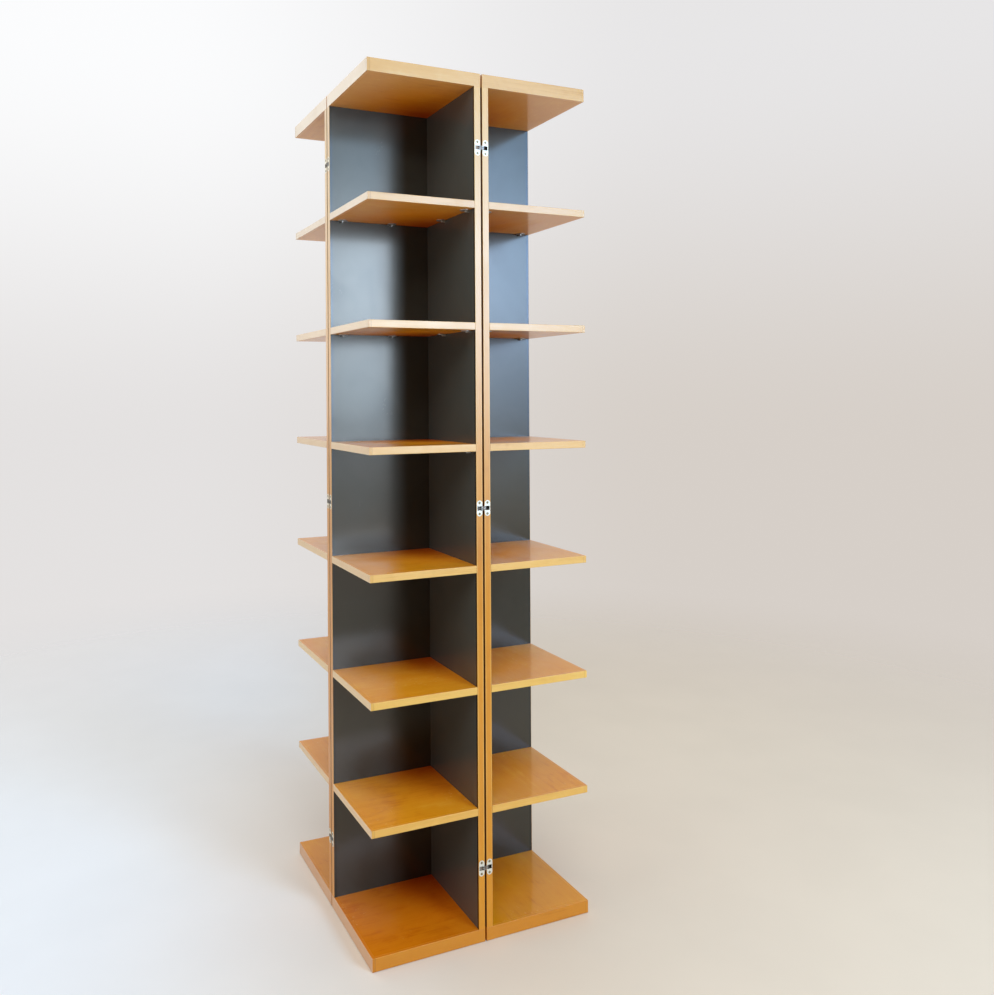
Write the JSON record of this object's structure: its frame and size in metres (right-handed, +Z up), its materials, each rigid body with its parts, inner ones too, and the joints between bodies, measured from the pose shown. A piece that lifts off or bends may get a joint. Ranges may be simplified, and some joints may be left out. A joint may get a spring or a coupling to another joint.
{
  "type": "bookcase",
  "caption": "Tall square tower bookcase: L-shaped corner units with open shelves stand back to back and fold open on concealed hinges.",
  "frame": {"origin": "on the floor, in the middle of the narrow gaps between the four units' backs", "axes": "+Z up, +X to the right and +Y to the rear as the tower stands with its front unit towards -X and -Y"},
  "size_m": [0.6234, 0.6202, 2.1979],
  "materials": {
    "lacquered_panel": "dark grey-brown lacquer, satin gloss",
    "veneered_board": "honey-coloured veneer, satin lacquer",
    "wood_lipping": "pale solid wood, satin lacquer",
    "dowel_wood": "plain turned wood",
    "support_metal": "nickel-plated steel",
    "hinge_plate_metal": "pale nickel plate, satin",
    "hinge_arm_metal": "dull steel"
  },
  "bodies": {
    "front_unit": {"front_long_panel": "lacquered_panel", "front_short_panel": "lacquered_panel", "front_edge_lippings": "wood_lipping", "front_base_board": "veneered_board", "front_top_board": "veneered_board", "front_shelf_1": "veneered_board", "front_shelf_2": "veneered_board", "front_shelf_3": "veneered_board", "front_shelf_4": "veneered_board", "front_shelf_5": "veneered_board", "front_shelf_6": "veneered_board", "front_shelf_supports": "support_metal", "front_dowels": "dowel_wood", "front_hinge_leaves_and_screws": "hinge_plate_metal", "front_hinge_arms": "hinge_arm_metal"},
    "right_unit": {"right_long_panel": "lacquered_panel", "right_short_panel": "lacquered_panel", "right_edge_lippings": "wood_lipping", "right_base_board": "veneered_board", "right_top_board": "veneered_board", "right_shelf_1": "veneered_board", "right_shelf_2": "veneered_board", "right_shelf_3": "veneered_board", "right_shelf_4": "veneered_board", "right_shelf_5": "veneered_board", "right_shelf_6": "veneered_board", "right_shelf_supports": "support_metal", "right_dowels": "dowel_wood", "right_hinge_leaves_and_screws": "hinge_plate_metal", "right_hinge_arms": "hinge_arm_metal"},
    "left_unit": {"left_long_panel": "lacquered_panel", "left_short_panel": "lacquered_panel", "left_edge_lippings": "wood_lipping", "left_base_board": "veneered_board", "left_top_board": "veneered_board", "left_shelf_1": "veneered_board", "left_shelf_2": "veneered_board", "left_shelf_3": "veneered_board", "left_shelf_4": "veneered_board", "left_shelf_5": "veneered_board", "left_shelf_6": "veneered_board", "left_shelf_supports": "support_metal", "left_dowels": "dowel_wood", "left_hinge_leaves_and_screws": "hinge_plate_metal", "left_hinge_arms": "hinge_arm_metal"},
    "rear_unit": {"rear_long_panel": "lacquered_panel", "rear_short_panel": "lacquered_panel", "rear_edge_lippings": "wood_lipping", "rear_base_board": "veneered_board", "rear_top_board": "veneered_board", "rear_shelf_1": "veneered_board", "rear_shelf_2": "veneered_board", "rear_shelf_3": "veneered_board", "rear_shelf_4": "veneered_board", "rear_shelf_5": "veneered_board", "rear_shelf_6": "veneered_board", "rear_shelf_supports": "support_metal", "rear_dowels": "dowel_wood", "rear_hinge_leaves_and_screws": "hinge_plate_metal", "rear_hinge_arms": "hinge_arm_metal"}
  },
  "joints": [
    {"name": "left_fold", "type": "hinge", "parent": "front_unit", "child": "left_unit", "pos_m": [-0.3095, 0, 1.099], "axis": [0, 0, 1], "range_deg": [0, 180]},
    {"name": "front_fold", "type": "hinge", "parent": "front_unit", "child": "right_unit", "pos_m": [0, -0.3095, 1.099], "axis": [0, 0, -1], "range_deg": [0, 180]},
    {"name": "right_fold", "type": "hinge", "parent": "right_unit", "child": "rear_unit", "pos_m": [0.3095, 0, 1.099], "axis": [0, 0, -1], "range_deg": [0, 180]}
  ]
}
